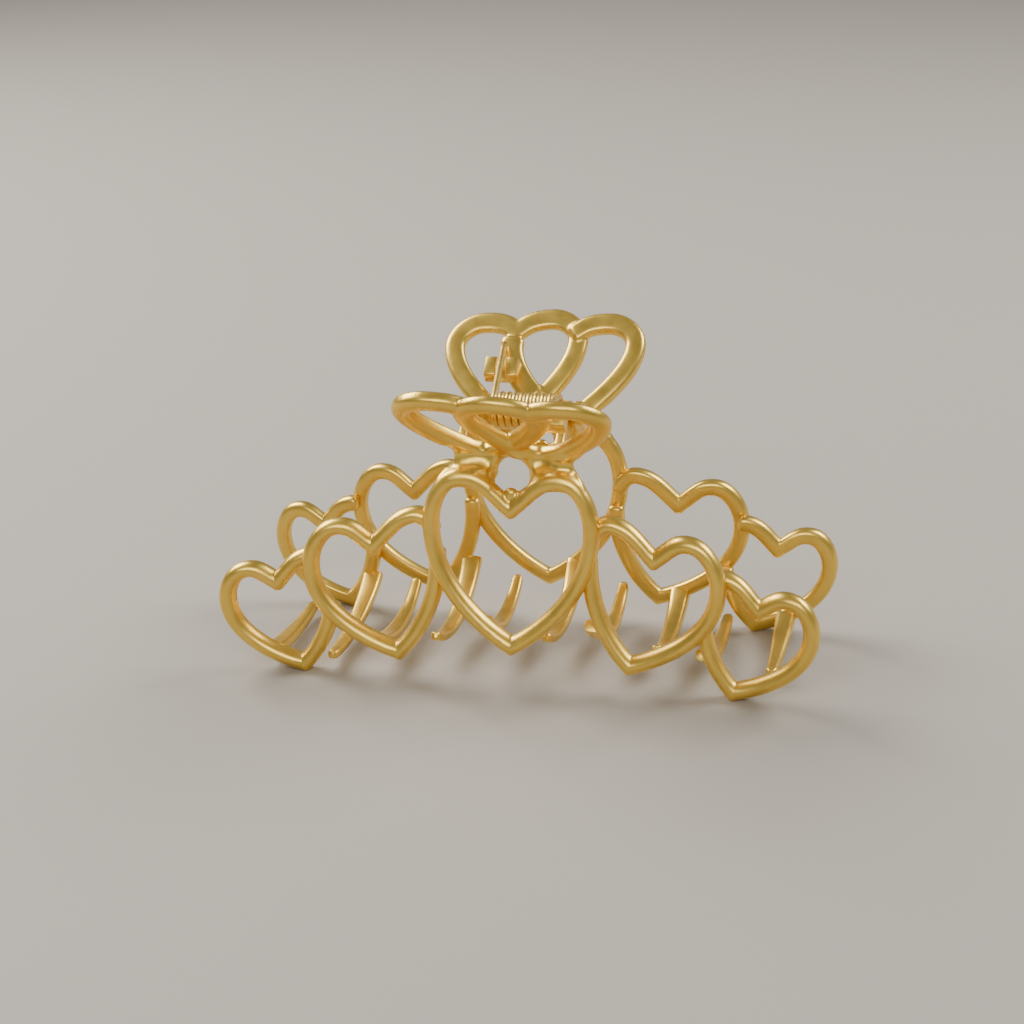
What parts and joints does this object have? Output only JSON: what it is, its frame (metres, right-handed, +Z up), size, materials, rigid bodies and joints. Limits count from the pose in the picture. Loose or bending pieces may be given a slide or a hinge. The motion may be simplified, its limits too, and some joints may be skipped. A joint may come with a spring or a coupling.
{
  "type": "claw hair clip",
  "caption": "Sprung metal hair claw: each jaw is a curved row of open hearts with inward curving teeth, opened by paired heart thumb pieces above a pinned torsion spring.",
  "frame": {"origin": "on the table plane, midway between the two jaws and midway along the clip", "axes": "+X along the clip, +Y towards the rear jaw, +Z up; the hinge pin lies along X"},
  "size_m": [0.1132, 0.0568, 0.0601],
  "materials": {
    "cast_gold": "satin gold plating over a zinc casting, softly rounded edges",
    "pin_gold": "satin gold plated steel pin with peened heads",
    "spring_gold": "smooth gold plated spring wire"
  },
  "bodies": {
    "front_jaw": {"front_center_heart": "cast_gold", "front_inner_heart_left": "cast_gold", "front_inner_heart_right": "cast_gold", "front_leg_left": "cast_gold", "front_leg_right": "cast_gold", "front_outer_heart_left": "cast_gold", "front_outer_heart_right": "cast_gold", "front_spring_fork": "cast_gold", "front_thumb_heart_bridge": "cast_gold", "front_thumb_heart_full": "cast_gold", "front_thumb_heart_tucked": "cast_gold", "front_tooth_far_left": "cast_gold", "front_tooth_far_right": "cast_gold", "front_tooth_left": "cast_gold", "front_tooth_middle": "cast_gold", "front_tooth_right": "cast_gold", "hinge_pin": "pin_gold", "torsion_spring": "spring_gold"},
    "rear_jaw": {"rear_center_heart": "cast_gold", "rear_inner_heart_left": "cast_gold", "rear_inner_heart_right": "cast_gold", "rear_leg_left": "cast_gold", "rear_leg_right": "cast_gold", "rear_outer_heart_left": "cast_gold", "rear_outer_heart_right": "cast_gold", "rear_spring_fork": "cast_gold", "rear_thumb_heart_bridge": "cast_gold", "rear_thumb_heart_full": "cast_gold", "rear_thumb_heart_tucked": "cast_gold", "rear_tooth_far_left": "cast_gold", "rear_tooth_far_right": "cast_gold", "rear_tooth_left": "cast_gold", "rear_tooth_middle": "cast_gold", "rear_tooth_right": "cast_gold"}
  },
  "joints": [
    {"name": "jaw_open", "type": "hinge", "parent": "front_jaw", "child": "rear_jaw", "pos_m": [0, 0, 0.0483], "axis": [1, 0, 0], "range_deg": [0, 80], "stiffness_Nm_per_rad": 0.2, "springref_deg": -57.3, "deforming": ["torsion_spring"]}
  ]
}
